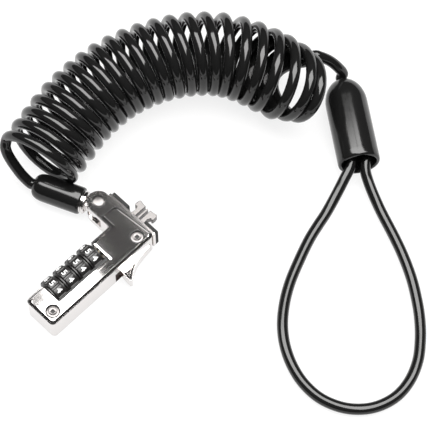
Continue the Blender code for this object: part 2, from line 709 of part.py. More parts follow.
def make_loop_sleeve(plastic, cable):
    """A hollow sleeve with a domed top, closed round the cable, and an open mouth."""
    start, direction, length = loop_sleeve_frame()
    outer = LOOP_SLEEVE_RADIUS
    inner = outer - LOOP_SLEEVE_WALL
    profile = [(LOOP_SLEEVE_HOLE, 0.0)]
    for degrees in (30, 50, 70, 90):
        turn = math.radians(degrees)
        profile.append((outer * math.sin(turn), LOOP_SLEEVE_DOME * (1 - math.cos(turn))))
    profile += [
        (outer, length - 0.3), (outer - 0.3, length), (inner, length), (inner, LOOP_SLEEVE_DOME),
        (inner * 0.6, LOOP_SLEEVE_DOME * 0.5), (LOOP_SLEEVE_HOLE, LOOP_SLEEVE_DOME * 0.5),
    ]
    sleeve = aim_along(turned(profile, 24, hollow=True), start, direction)
    make_object("loop_sleeve", sleeve, plastic, start, cable)


def make_loop_crimp(metal, cable):
    """The pressed oval ferrule inside the loop sleeve."""
    start, direction, length = loop_sleeve_frame()
    rings = []
    for distance, share in ((CRIMP_START, 0.9), (CRIMP_START + 1.0, 1.0),
                            (CRIMP_END - 1.0, 1.0), (CRIMP_END, 0.9)):
        ring = []
        for across, up in circle(1.0, 20):
            place = start + direction * distance
            place += Vector((-direction.y, direction.x, 0.0)) * across * share * CRIMP_HALF_WIDTH
            place += Vector((0, 0, 1)) * up * share * CRIMP_HALF_HEIGHT
            ring.append(place)
        rings.append(ring)
    make_object("loop_crimp", loft(rings), metal, start + direction * CRIMP_START, cable)


def make_cords(jacket):
    """The cable's free stretches as tubes and its coiled stretch as one fat tube."""
    start = swivel_point(SLEEVE_END + GAP)
    straight = swivel_point(SLEEVE_END + 1.6)
    lead = smooth_points([straight] + LEAD_ROUTE + coil_turn_points(0.0, FIRST_TURN))
    lead = [start] + evenly_spaced(lead, CORD_POINT_SPACING * 0.5)
    tube_along("lead_cord", lead, CORD_RADIUS, jacket)

    axis = evenly_spaced(coil_axis(), count=COIL_AXIS_STEPS + 1)
    first = round(COIL_SOLID_START * COIL_AXIS_STEPS)
    last = round(COIL_SOLID_END * COIL_AXIS_STEPS)
    core = evenly_spaced(axis[first:last + 1], CORD_POINT_SPACING)
    tube_along("coil_cord", core, COIL_RADIUS, jacket, 4)

    top, direction, length = loop_sleeve_frame()
    leave = smooth_points(EXIT_ROUTE + [top - direction * 1.8])
    leave = evenly_spaced(leave, CORD_POINT_SPACING * 0.25) + [top - direction * GAP]
    tube_along("exit_cord", leave, CORD_RADIUS, jacket)

    across = Vector((direction.y, -direction.x, 0.0)) * LOOP_LEG_OFFSET
    crimp_foot = top + direction * (CRIMP_END + GAP)
    ends = [crimp_foot + across, crimp_foot - across]
    straight = [end + direction * 1.5 for end in ends]
    loop = smooth_points([straight[0]] + LOOP_ROUTE + [straight[1]])
    loop = [ends[0]] + evenly_spaced(loop, CORD_POINT_SPACING * 0.6) + [ends[1]]
    tube_along("loop_cord", loop, CORD_RADIUS, jacket)


def place_in_frame():
    """Hang every top-level item on one empty and move that to the frame's origin."""
    frame = bpy.data.objects.new("lock_frame", None)
    bpy.context.scene.collection.objects.link(frame)
    for item in bpy.data.objects:
        if item.parent is None and item != frame:
            item.parent = frame
    frame.location = Vector(FRAME_SHIFT) * MM


def main():
    clear_scene()
    chrome = make_material("chrome", (0.78, 0.77, 0.76), 0.08, 1.0)
    steel = make_material("steel", (0.55, 0.54, 0.52), 0.25, 1.0)
    brass = make_material("brass", (0.78, 0.60, 0.30), 0.3, 1.0)
    black_plastic = make_material("black_plastic", (0.02, 0.02, 0.02), 0.3, 0.0)
    black_rubber = make_material("black_rubber", (0.02, 0.02, 0.02), 0.7, 0.0)
    black_jacket = make_material("black_jacket", (0.015, 0.015, 0.015), 0.15, 0.0)
    cable = make_empty("cable_end", (PIVOT_X, PIVOT_Y, 0.0))
    head = make_empty("head_swivel_axis", (PIVOT_X, PIVOT_Y, 0.0))
    make_housing(chrome, head)
    make_cover(chrome, head)
    make_cover_screws(chrome, head)
    make_pivot_rivet(chrome, head)
    make_face_parts(steel, black_rubber, head)
    make_bushes(brass, head)
    make_detent_spring(steel, head)
    make_jaw_pins(steel, head)
    make_dials(black_plastic, steel, head)
    make_trigger_parts(chrome, steel, head)
    make_trigger_spring(steel, head)
    make_jaws(chrome, head)
    make_swivel_tang(chrome, cable)
    make_ferrule(chrome, cable)
    make_cable_sleeve(black_plastic, cable)
    make_loop_sleeve(black_plastic, cable)
    make_loop_crimp(steel, cable)
    make_cords(black_jacket)
    place_in_frame()


main()
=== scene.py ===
"""Cable lock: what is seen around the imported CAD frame.

Lengths are in millimetres in the head's own frame, with the origin on the
underside at the middle of the dial bar, until P() or finish_mesh() moves them
to the row frame in metres.
"""

import json
import math

import bmesh
import bpy
from mathutils import Matrix, Vector

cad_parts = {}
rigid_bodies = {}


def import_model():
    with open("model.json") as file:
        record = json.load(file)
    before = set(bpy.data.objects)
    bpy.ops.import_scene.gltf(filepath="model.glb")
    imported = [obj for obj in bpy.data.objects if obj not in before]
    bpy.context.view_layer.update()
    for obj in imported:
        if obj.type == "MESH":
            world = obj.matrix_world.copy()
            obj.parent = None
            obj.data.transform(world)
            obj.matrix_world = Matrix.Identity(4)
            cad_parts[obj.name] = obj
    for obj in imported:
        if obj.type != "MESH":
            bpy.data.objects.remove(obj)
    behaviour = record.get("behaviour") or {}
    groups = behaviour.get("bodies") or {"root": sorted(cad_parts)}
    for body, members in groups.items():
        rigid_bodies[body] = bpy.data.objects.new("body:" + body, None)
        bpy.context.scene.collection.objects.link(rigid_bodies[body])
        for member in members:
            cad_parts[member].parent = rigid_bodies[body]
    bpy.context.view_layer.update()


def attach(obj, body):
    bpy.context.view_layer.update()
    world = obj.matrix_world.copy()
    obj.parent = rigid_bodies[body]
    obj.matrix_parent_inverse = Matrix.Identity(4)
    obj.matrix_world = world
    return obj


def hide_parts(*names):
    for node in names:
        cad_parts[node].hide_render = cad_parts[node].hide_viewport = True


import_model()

MM = 0.001
SHIFT = Vector((-3.3, -3.8, 0.0))

# Camera
CAMERA_TARGET = Vector((44.07, -10.91, 0.0))
CAMERA_AZIMUTH = math.radians(-45.3)
CAMERA_ELEVATION = math.radians(63.5)
CAMERA_DISTANCE = 700.0
CAMERA_LENS = 182.95

# Light: a bright box in the sky with two dark cards, over a dim sky
BOX_X = (-0.28, 0.56)
BOX_Y = (-0.45, 0.66)
BOX_ACROSS = (0.573, 0.82)
BOX_ACROSS_END = 0.475
BOX_RADIANCE = 9.0
CARD_X, CARD_Y = (0.260, 0.294), (0.312, 0.366)
CORNER_X, CORNER_Y = (0.20, 0.240), (0.3415, 0.36)
CARD_EDGE = 0.003
SKY = (0.03, 0.075)
FILLS = [("fill", (-200, 250, 900), 3.0), ("fill_front", (300, -500, 800), 2.0)]
FILL_SIZE = 900
FILL_AIM = (45, -10, 0)
FLOOR_HALF = 4000
FLOOR_BASE = 0.12
FLOOR_GLOW = 0.84

# Head
BAR_X = 22.0
BAR_Y = 6.2
PIVOT = Vector((18.1, 15.0, 0.0))
ARM_HALF = 3.9
SHELL_TOP = 9.15
HEAD_TOP = 9.8
WINDOW_FOOT = -15.1
WINDOW_TIP = 6.4
WINDOW_EDGE = -2.75
ABOVE = 12.0
SCREWS = [("cover_screw_foot", (-18.6, -2.7)), ("cover_screw_tip", (17.8, -2.9))]

# Dials
DIAL_X = [-12.2 + 5.17 * k for k in range(4)]
DIAL_Y = 3.3
DIAL_Z = 5.25
DIAL_RADIUS = 5.08
REST_DIGIT = 5
REST_TILT = 10.0
DIGITS = 10
SECTOR = 360.0 / DIGITS
DIGIT_HEIGHT = 2.05
DIGIT_STRETCH = (1.05, 0.95, 1.0)

# Anchor
ANCHOR_Y = 3.1
ANCHOR_Z = 4.9
ANCHOR_ROOM = 3.3
JAW_PIN_X = 15.5
JAW_PIN_OFFSET = 2.0
FACE_X = 22.3

# Cable
CORD = 1.8
SWIVEL = math.radians(113.3)
SWIVEL_Z = 4.95
FERRULE_FOOT = 4.05
SLEEVE_FOOT = 5.7
SLEEVE_END = 22.6
SLEEVE_RADIUS = 4.5
COIL_OUTSIDE = 13.9
COIL_TURNS = 22.95
COIL_FIRST_ANGLE = 20.0
COIL_CREST = math.radians(20.0)
STEPS_PER_TURN = 32
AXIS_SAMPLES = 1200
COIL_AXIS = [
    (13.1, 37.4), (22.5, 39.3), (31.9, 41.3), (41.2, 42.1), (50.6, 41.5), (59.5, 39.2),
    (68.0, 35.4), (75.9, 30.0), (82.5, 22.9), (86.7, 14.2), (89.3, 4.8), (92.0, -4.4), (92.7, -6.6),
]
# Along the axis, in mm: the room each turn takes, how far a turn's top and its
# outer side stand ahead of its middle, how far its underside lies behind, and
# the radius of its cable's middle line.
COIL_PITCH = [(0, 5.2), (16, 5.1), (26, 4.45), (38, 4.3), (50, 4.5), (72, 4.85), (90, 4.9), (99, 5.3),
              (101, 3.4), (110, 3.3)]
COIL_TOP_AHEAD = [(0, -1.4), (22, -2.6), (38, -2.2), (56, -0.3), (75, 1.9), (95, 6.0), (101, 6.9)]
COIL_SIDE_AHEAD = [(0, 0.2), (14, 1.6), (34, 0.9), (56, -0.4), (75, -2.0), (95, -4.5), (105, -4.5)]
COIL_FLOOR_BEHIND = [(0, 0.7), (12, 1.6), (30, 2.2), (56, 2.5), (68, 1.6), (82, 1.6), (92, 2.7),
                     (99, 2.7), (103, 5.0)]
COIL_RADIUS = [(0, 12.1), (98, 12.1), (107, 9.0)]
LEAD = [
    (8.1, 40.1, 6.9), (8.0, 42.4, 8.9), (8.05, 44.7, 11.0), (8.3, 46.7, 13.2), (9.0, 48.0, 15.4),
]
EXIT = [
    (101.7, 0.2, 17.2), (103.3, -1.5, 16.6), (105.4, -3.9, 14.2), (106.8, -6.3, 11.3), (107.5, -7.9, 8.6),
]
LOOP_SLEEVE_TOP = Vector((106.0, -8.9, 6.9))
LOOP_SLEEVE_MOUTH = Vector((87.4, -34.3, 6.9))
LOOP_SLEEVE_RADIUS = 6.9
LOOP_SLEEVE_DOME = 9.0
LOOP_LEG_OFFSET = 2.4
LOOP_SAMPLES = 320
LOOP = [
    (84.4, -32.8, 6.1), (80.8, -33.9, 5.0), (77.0, -35.0, 3.7), (73.0, -36.1, 2.5), (68.6, -37.3, 1.9),
    (63.8, -38.4, 1.85), (58.2, -39.9, 1.85), (50.9, -42.6, 1.85), (43.4, -45.8, 1.85), (37.0, -49.5, 1.85),
    (31.1, -54.2, 1.85), (26.4, -59.8, 1.85), (23.0, -66.3, 1.85), (21.2, -73.3, 1.85), (21.5, -80.6, 1.85),
    (24.6, -87.8, 1.85), (30.1, -93.2, 1.85), (37.2, -95.9, 1.85), (44.4, -95.6, 1.85), (51.5, -92.9, 1.85),
    (57.6, -88.5, 1.85), (62.7, -83.6, 1.85), (67.0, -78.4, 1.85), (71.3, -72.2, 1.85), (75.2, -65.1, 1.85),
    (78.3, -58.2, 1.85), (81.1, -51.2, 1.85), (82.8, -47.1, 2.1), (84.4, -43.2, 3.1), (86.0, -39.6, 4.4),
    (87.6, -36.8, 5.7),
]


# ------------------------------------------------------------------ materials

def new_material(name):
    material = bpy.data.materials.new(name)
    material.use_nodes = True
    tree = material.node_tree
    return material, tree.nodes, tree.links, tree.nodes["Principled BSDF"]


def add_noise_bump(nodes, links, shader, scale, strength, distance=0.0001):
    coords = nodes.new("ShaderNodeTexCoord")
    noise = nodes.new("ShaderNodeTexNoise")
    noise.inputs["Scale"].default_value = scale
    noise.inputs["Detail"].default_value = 4.0
    bump = nodes.new("ShaderNodeBump")
    bump.inputs["Strength"].default_value = strength
    bump.inputs["Distance"].default_value = distance
    links.new(coords.outputs["Object"], noise.inputs["Vector"])
    links.new(noise.outputs["Fac"], bump.inputs["Height"])
    links.new(bump.outputs["Normal"], shader.inputs["Normal"])
    return noise


def vary_roughness(nodes, links, shader, noise, low, high):
    spread = nodes.new("ShaderNodeMapRange")
    spread.inputs["To Min"].default_value = low
    spread.inputs["To Max"].default_value = high
    links.new(noise.outputs["Fac"], spread.inputs["Value"])
    links.new(spread.outputs["Result"], shader.inputs["Roughness"])


def metal(name, colour, low, high, scale=900.0, strength=0.02):
    material, nodes, links, shader = new_material(name)
    shader.inputs["Base Color"].default_value = (*colour, 1.0)
    shader.inputs["Metallic"].default_value = 1.0
    noise = add_noise_bump(nodes, links, shader, scale, strength, 0.00002)
    vary_roughness(nodes, links, shader, noise, low, high)
    return material


def polymer(name, colour, low, high, specular=0.5):
    material, nodes, links, shader = new_material(name)
    shader.inputs["Base Color"].default_value = (*colour, 1.0)
    shader.inputs["Metallic"].default_value = 0.0
    shader.inputs["Specular IOR Level"].default_value = specular
    noise = add_noise_bump(nodes, links, shader, 700.0, 0.05, 0.00004)
    vary_roughness(nodes, links, shader, noise, low, high)
    return material


# --------------------------------------------------------------- mesh helpers

def P(point):
    return (Vector(point) + SHIFT) * MM


def to_row_mesh(name, shape):
    """A mesh in the row frame from a bmesh in head millimetres."""
    bmesh.ops.recalc_face_normals(shape, faces=shape.faces)
    bmesh.ops.translate(shape, verts=shape.verts, vec=SHIFT)
    bmesh.ops.scale(shape, verts=shape.verts, vec=(MM, MM, MM))
    mesh = bpy.data.meshes.new(name)
    shape.to_mesh(mesh)
    shape.free()
    return mesh


def set_material(item, material):
    item.data.materials.clear()
    item.data.materials.append(material)


def finish_mesh(name, shape, material, body, smooth=32.0):
    """A bmesh in head millimetres becomes a piece; body is None if it rides later."""
    mesh = to_row_mesh(name, shape)
    mesh.materials.append(material)
    mesh.shade_smooth()
    mesh.set_sharp_from_angle(angle=math.radians(smooth))
    item = bpy.data.objects.new(name, mesh)
    bpy.context.scene.collection.objects.link(item)
    if body:
        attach(item, body)
    return item


def boolean(item, shape, operation="DIFFERENCE"):
    """Change a piece with a bmesh in head millimetres, and keep the result as its mesh."""
    other = bpy.data.objects.new("tool", to_row_mesh("tool", shape))
    bpy.context.scene.collection.objects.link(other)
    modifier = item.modifiers.new("boolean", "BOOLEAN")
    modifier.operation = operation
    modifier.solver = "EXACT"
    modifier.object = other
    bake(item)
    bpy.data.objects.remove(other, do_unlink=True)


def bake(item):
    bpy.context.view_layer.update()
    graph = bpy.context.evaluated_depsgraph_get()
    mesh = bpy.data.meshes.new_from_object(item.evaluated_get(graph))
    item.modifiers.clear()
    item.data = mesh


def soften(item, width, segments=2, angle=30.0):
    """Round every edge sharper than an angle, and shade the faces flat between."""
    modifier = item.modifiers.new("bevel", "BEVEL")
    modifier.width = width * MM
    modifier.segments = segments
    modifier.limit_method = "ANGLE"
    modifier.angle_limit = math.radians(angle)
    modifier.harden_normals = True
    item.data.shade_smooth()
    flatten = item.modifiers.new("flat_faces", "WEIGHTED_NORMAL")
    flatten.weight = 100
    flatten.keep_sharp = True


def loft(rings, closed=False, caps=True):
    shape = bmesh.new()
    loops = [[shape.verts.new(point) for point in ring] for ring in rings]
    pairs = list(zip(loops, loops[1:]))
    if closed:
        pairs.append((loops[-1], loops[0]))
    for ring_a, ring_b in pairs:
        for i in range(len(ring_a)):
            j = (i + 1) % len(ring_a)
            shape.faces.new((ring_a[i], ring_a[j], ring_b[j], ring_b[i]))
    if caps and not closed:
        shape.faces.new(list(reversed(loops[0])))
        shape.faces.new(loops[-1])
    return shape


def prism(outline, bottom, top):
    return loft([[(x, y, z) for x, y in outline] for z in (bottom, top)])


def block(low, high):
    return prism([(low[0], low[1]), (high[0], low[1]), (high[0], high[1]), (low[0], high[1])],
                 low[2], high[2])


def circle(radius, count, centre=(0.0, 0.0), start=0.0):
    points = []
    for i in range(count):
        angle = start + 2 * math.pi * i / count
        points.append((centre[0] + radius * math.cos(angle), centre[1] + radius * math.sin(angle)))
    return points


def arc(centre, radius, first, last, steps):
    points = []
    for i in range(steps + 1):
        angle = math.radians(first + (last - first) * i / steps)
        points.append((centre[0] + radius * math.cos(angle), centre[1] + radius * math.sin(angle)))
    return points


def cylinder(centre, radius, bottom, top, count=48):
    return prism(circle(radius, count, centre), bottom, top)


def turned(profile, count=48, closed=False):
    return loft([[(x, y, height) for x, y in circle(radius, count)] for radius, height in profile],
                closed=closed)


def aim(shape, start, direction):
    turn = Vector((0, 0, 1)).rotation_difference(Vector(direction).normalized()).to_matrix().to_4x4()
    bmesh.ops.transform(shape, matrix=Matrix.Translation(Vector(start)) @ turn, verts=shape.verts)
    return shape


def merge(target, shape):
    """Copy one bmesh into another."""
    mesh = bpy.data.meshes.new("part")
    shape.to_mesh(mesh)
    shape.free()
    target.from_mesh(mesh)
    bpy.data.meshes.remove(mesh)
    return target


def rounded(corners, radii, steps=5):
    """An outline with each corner rounded to its radius."""
    points = []
    count = len(corners)
    for i in range(count):
        here = Vector(corners[i])
        back = (Vector(corners[i - 1]) - here)
        ahead = (Vector(corners[(i + 1) % count]) - here)
        radius = radii[i] if isinstance(radii, (list, tuple)) else radii
        if radius <= 0:
            points.append(tuple(here))
            continue
        angle = back.angle(ahead)
        reach = min(radius / math.tan(angle / 2), back.length * 0.49, ahead.length * 0.49)
        first = here + back.normalized() * reach
        last = here + ahead.normalized() * reach
        for step in range(steps + 1):
            t = step / steps
            points.append(tuple((1 - t) ** 2 * first + 2 * t * (1 - t) * here + t ** 2 * last))
    return points


# --------------------------------------------------------------- curves

def catmull(route, steps=12):
    knots = [Vector(point) for point in route]
    knots = [2 * knots[0] - knots[1]] + knots + [2 * knots[-1] - knots[-2]]
    curve = []
    for i in range(1, len(knots) - 2):
        before, here, after, beyond = knots[i - 1:i + 3]
        for step in range(steps):
            t = step / steps
            curve.append(0.5 * (
                2 * here + (after - before) * t
                + (2 * before - 5 * here + 4 * after - beyond) * t * t
                + (3 * here - before - 3 * after + beyond) * t ** 3
            ))
    curve.append(knots[-2])
    return curve


def even(curve, count):
    lengths = [0.0]
    for a, b in zip(curve, curve[1:]):
        lengths.append(lengths[-1] + (b - a).length)
    result = []
    index = 0
    for i in range(count):
        wanted = lengths[-1] * i / (count - 1)
        while index < len(lengths) - 2 and lengths[index + 1] < wanted:
            index += 1
        share = (wanted - lengths[index]) / (lengths[index + 1] - lengths[index])
        result.append(curve[index].lerp(curve[index + 1], share))
    return result


def length_of(points):
    return sum((b - a).length for a, b in zip(points, points[1:]))


def between(table, x):
    for (x0, y0), (x1, y1) in zip(table, table[1:]):
        if x <= x1:
            return y0 + (y1 - y0) * (x - x0) / (x1 - x0)
    return table[-1][1]


def tube(name, points, radius, material, body, resolution=7):
    curve = bpy.data.curves.new(name, "CURVE")
    curve.dimensions = "3D"
    curve.bevel_depth = radius * MM
    curve.bevel_resolution = resolution
    curve.use_fill_caps = True
    spline = curve.splines.new("POLY")
    spline.points.add(len(points) - 1)
    for place, point in zip(spline.points, points):
        place.co = (*P(point), 1.0)
    curve.materials.append(material)
    item = bpy.data.objects.new(name, curve)
    bpy.context.scene.collection.objects.link(item)
    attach(item, body)
    return item


def coil_points():
    axis = even(catmull([(x, y, COIL_OUTSIDE) for x, y in COIL_AXIS], 40), AXIS_SAMPLES)
    axis_length = length_of(axis)
    points = []
    along = 0.0
    angle = math.radians(COIL_FIRST_ANGLE)
    for step in range(round(COIL_TURNS * STEPS_PER_TURN) + 1):
        place = along / axis_length * (len(axis) - 1)
        i = min(int(place), len(axis) - 2)
        centre = axis[i].lerp(axis[i + 1], place - i)
        forward = (axis[i + 1] - axis[i]).normalized()
        side = Vector((-forward.y, forward.x, 0.0))
        radius = between(COIL_RADIUS, along)
        under = min(math.sin(angle - COIL_CREST), 0.0) ** 2
        ahead = (between(COIL_TOP_AHEAD, along) * math.sin(angle)
                 + between(COIL_SIDE_AHEAD, along) * math.cos(angle)
                 - between(COIL_FLOOR_BEHIND, along) * under)
        points.append(centre + radius * (math.cos(angle) * side + Vector((0, 0, math.sin(angle))))
                      + ahead * forward)
        along += between(COIL_PITCH, along) / STEPS_PER_TURN
        angle += 2 * math.pi / STEPS_PER_TURN
    return points


def swivel(distance):
    return Vector((PIVOT.x + distance * math.cos(SWIVEL), PIVOT.y + distance * math.sin(SWIVEL), SWIVEL_Z))


SWIVEL_WAY = Vector((math.cos(SWIVEL), math.sin(SWIVEL), 0.0))


# ------------------------------------------------------------------------ head

def head_outline(inset=0.0):
    corner = 1.5 - inset * 0.5
    low = -BAR_Y + inset
    high = BAR_Y - inset
    foot = -BAR_X + inset
    tip = BAR_X - inset
    left = PIVOT.x - ARM_HALF + inset
    points = arc((foot + corner, low + corner), corner, 180, 270, 6)
    points += arc((tip - corner, low + corner), corner, 270, 360, 6)
    points += arc((PIVOT.x, PIVOT.y), ARM_HALF - inset, 0, 180, 28)
    points += [(left, high)]
    points += arc((foot + corner, high - corner), corner, 90, 180, 6)
    return points


def plateau_outline(inset):
    """The raised face: tapered on the anchor side, cut across below the pivot."""
    i = inset
    corners = [
        (-21.85 + i, -6.05 + i), (21.85 - i, -6.05 + i), (20.6 - i, 9.9 - i),
        (14.8 + i, 10.35 - i), (14.8 + i, 5.5 - i), (-21.85 + i, 5.5 - i),
    ]
    return rounded(corners, [1.4, 1.1, 1.2, 0.3, 0.0, 1.4], 6)


def make_shell(chrome):
    rings = []
    for inset, z in ((0.35, 0.0), (0.1, 0.12), (0.0, 0.4), (0.0, SHELL_TOP - 0.15), (0.15, SHELL_TOP)):
        rings.append([(x, y, z) for x, y in head_outline(inset)])
    shell = finish_mesh("shell", loft(rings), chrome, None)
    boolean(shell, block((WINDOW_FOOT, -2.4, -2.0), (WINDOW_TIP, ABOVE, ABOVE)))
    boolean(shell, block((7.6, -4.95, 1.2), (13.9, 5.0, 8.4)))
    boolean(shell, block((13.7, -0.7, 1.2), (20.8, 6.95, 8.4)))
    boolean(shell, block((4.9, -8.0, 0.65), (20.2, -4.6, 5.6)))
    boolean(shell, block((20.0, ANCHOR_Y - ANCHOR_ROOM, 3.3), (24.0, ANCHOR_Y + ANCHOR_ROOM, 6.5)))
    boolean(shell, block((12.0, 10.2, 2.6), (24.0, 22.0, 7.3)))
    boolean(shell, aim(turned([(1.55, 0.0), (1.55, 7.0)]), (-21.3, DIAL_Y, DIAL_Z), (1, 0, 0)))
    boolean(shell, aim(turned([(2.45, 0.0), (2.45, 3.2)]), (-17.9, DIAL_Y, DIAL_Z), (1, 0, 0)))
    boolean(shell, aim(turned([(2.45, 0.0), (2.45, 2.0)]), (6.0, DIAL_Y, DIAL_Z), (1, 0, 0)))
    boolean(shell, cylinder(PIVOT, 1.8, -1.0, ABOVE))
    boolean(shell, cylinder(PIVOT, 2.5, -1.0, 0.7))
    for name, place in SCREWS:
        boolean(shell, cylinder(place, 1.3, 3.0, ABOVE))
    for side in (-1, 1):
        boolean(shell, cylinder((JAW_PIN_X, ANCHOR_Y + side * JAW_PIN_OFFSET), 0.9, 0.5, 8.5, 24))
    boolean(shell, block((-14.7, -3.7, 3.1), (6.0, -2.0, 7.4)))
    set_material(shell, chrome)
    soften(shell, 0.09, 2, 40.0)
    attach(shell, "lock_head")
    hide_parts("housing")
    return shell


def make_plateau(chrome, dark):
    rings = []
    for inset, z in ((0.0, SHELL_TOP + 0.02), (0.1, SHELL_TOP + 0.1),
                     (0.62, HEAD_TOP - 0.08), (0.75, HEAD_TOP)):
        rings.append([(x, y, z) for x, y in plateau_outline(inset)])
    plateau = finish_mesh("face_plateau", loft(rings), chrome, None)
    boolean(plateau, block((WINDOW_FOOT, WINDOW_EDGE, 8.0), (WINDOW_TIP, ABOVE, ABOVE)))
    lip = [(WINDOW_TIP - 0.1, HEAD_TOP - 0.13), (WINDOW_TIP + 0.6, HEAD_TOP + 0.01),
           (WINDOW_TIP + 0.6, HEAD_TOP + 0.5), (WINDOW_TIP - 0.1, HEAD_TOP + 0.5)]
    boolean(plateau, loft([[(px, y, z) for px, z in lip] for y in (WINDOW_EDGE, 7.0)]))
    for name, place in SCREWS:
        boolean(plateau, cylinder(place, 2.43, 8.0, ABOVE))
    set_material(plateau, chrome)
    soften(plateau, 0.07, 2, 30.0)
    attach(plateau, "lock_head")
    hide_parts("cover")
    # A thin near-black sheet in the joint round the plateau: painted shade, drawn as a dark line along the
    # raised face's edge
    gap = prism(plateau_outline(-0.22), SHELL_TOP - 0.1, SHELL_TOP + 0.015)
    joint_shade = finish_mesh("plateau_joint_painted_shade", gap, dark, None)
    boolean(joint_shade, prism(head_outline(0.16), 8.0, 10.0), "INTERSECT")
    boolean(joint_shade, block((WINDOW_FOOT, WINDOW_EDGE, 8.0), (WINDOW_TIP, ABOVE, ABOVE)))
    set_material(joint_shade, dark)
    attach(joint_shade, "lock_head")
    # Two strips along the window's long edge: the first chrome, the second near-black as painted shade on the
    # lower step
    for k, (low, high, top) in enumerate(((-3.0, -1.75, 9.4), (-2.2, -0.85, 8.98))):
        strip = block((WINDOW_FOOT - 0.4, low, 8.78), (WINDOW_TIP + 0.4, high, top))
        step = finish_mesh("window_step_%d" % (k + 1), strip, (chrome, dark)[k], None)
        soften(step, 0.06)
        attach(step, "lock_head")


def make_screws(satin, dark):
    """Heads in round wells: a flat rim, a step down and a square socket; each well is lined near-black as
    painted shade.
    """
    for name, place in SCREWS:
        profile = [(1.0, 4.0), (1.0, 9.1), (2.05, 9.1), (2.1, 9.62), (2.05, 9.72), (1.98, 9.76), (1.38, 9.76),
                   (1.32, 9.7), (1.3, 9.62), (1.24, 9.6), (0.01, 9.6)]
        item = finish_mesh(name + "_head", aim(turned(profile, 40), (*place, 0.0), (0, 0, 1)), satin, None)
        boolean(item, prism(circle(0.86, 4, place, math.radians(45.0)), 8.9, 11.0))
        set_material(item, satin)
        soften(item, 0.03, 2, 40.0)
        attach(item, "lock_head")
        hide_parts(name)
        # A thin near-black lining of the well round the head: painted shade in the recess
        well_profile = [(0.5, 9.0), (2.42, 9.0), (2.42, 9.72), (2.12, 9.72), (2.12, 9.05), (0.5, 9.05)]
        well = loft([[(x, y, z) for x, y in circle(radius, 40, place)] for radius, z in well_profile],
                    closed=True)
        finish_mesh(name + "_seat", well, dark, "lock_head")


def make_rivet(satin, dark):
    profile = [(1.9, 0.1), (2.3, 0.2), (2.3, 0.4), (1.6, 0.4), (1.6, 9.25), (1.95, 9.25), (2.0, 9.5),
               (1.95, 9.66), (1.8, 9.74), (1.2, 9.82), (0.01, 9.84)]
    head = aim(turned(profile, 48), PIVOT, (0, 0, 1))
    rivet = finish_mesh("pivot_rivet_head", head, satin, "lock_head", 50.0)
    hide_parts("pivot_rivet")
    # A thin near-black ring in the gap round the rivet head: painted shade
    ring = loft([[(x, y, z) for x, y in circle(radius, 48, PIVOT)]
                 for radius, z in ((2.05, 9.1), (2.3, 9.1), (2.3, 9.2), (2.05, 9.2))], closed=True)
    finish_mesh("pivot_rivet_seat", ring, dark, "lock_head")


def make_face_parts(chrome, rubber):
    outline = rounded([(-6.0, 0.8), (14.6, 0.8), (14.6, 8.9), (-6.0, 8.9)], 0.5)
    slab = loft([[(x, y, z) for y, z in outline] for x in (FACE_X - 0.35, FACE_X + 0.7)])
    plate = finish_mesh("face_plate_chrome", slab, chrome, None)
    boolean(plate, block((FACE_X - 2.0, ANCHOR_Y - ANCHOR_ROOM, 3.3),
                         (FACE_X + 3.0, ANCHOR_Y + ANCHOR_ROOM, 6.5)))
    set_material(plate, chrome)
    soften(plate, 0.12, 2, 40.0)
    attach(plate, "lock_head")
    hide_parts("face_plate")
    for name, low, high in (("face_pad_arm", 6.9, 14.1), ("face_pad_corner", -6.0, -0.4)):
        pad_outline = rounded([(low, 0.9), (high, 0.9), (high, 8.7), (low, 8.7)], 0.6)
        slab = loft([[(x, y, z) for y, z in pad_outline] for x in (FACE_X + 0.72, FACE_X + 1.9)])
        pad = finish_mesh(name + "_rubber", slab, rubber, None)
        soften(pad, 0.25, 3, 40.0)
        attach(pad, "lock_head")
        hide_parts(name)


# ----------------------------------------------------------------------- dials

def dial_frame(x, angle):
    """Matrix that stands a thing built on the XY plane on a dial, its top towards +X."""
    tilt = math.radians(angle)
    out = Vector((0.0, math.sin(tilt), math.cos(tilt)))
    top = Vector((1.0, 0.0, 0.0))
    right = top.cross(out)
    turn = Matrix((right, top, out)).transposed().to_4x4()
    return Matrix.Translation(Vector((x, DIAL_Y, DIAL_Z)) + out * DIAL_RADIUS) @ turn


def digit_shape(digit, height):
    curve = bpy.data.curves.new("digit", "FONT")
    curve.body = str(digit)
    curve.size = height / 0.72
    curve.align_x = "CENTER"
    curve.align_y = "CENTER"
    curve.offset = 0.02
    curve.extrude = 0.03
    curve.resolution_u = 6
    item = bpy.data.objects.new("digit", curve)
    bpy.context.scene.collection.objects.link(item)
    bpy.context.view_layer.update()
    graph = bpy.context.evaluated_depsgraph_get()
    mesh = bpy.data.meshes.new_from_object(item.evaluated_get(graph))
    bpy.data.objects.remove(item, do_unlink=True)
    shape = bmesh.new()
    shape.from_mesh(mesh)
    low = min(v.co.y for v in shape.verts)
    high = max(v.co.y for v in shape.verts)
    left = min(v.co.x for v in shape.verts)
    right = max(v.co.x for v in shape.verts)
    bmesh.ops.translate(shape, verts=shape.verts, vec=(-(left + right) / 2, -(low + high) / 2, 0.0))
    return shape


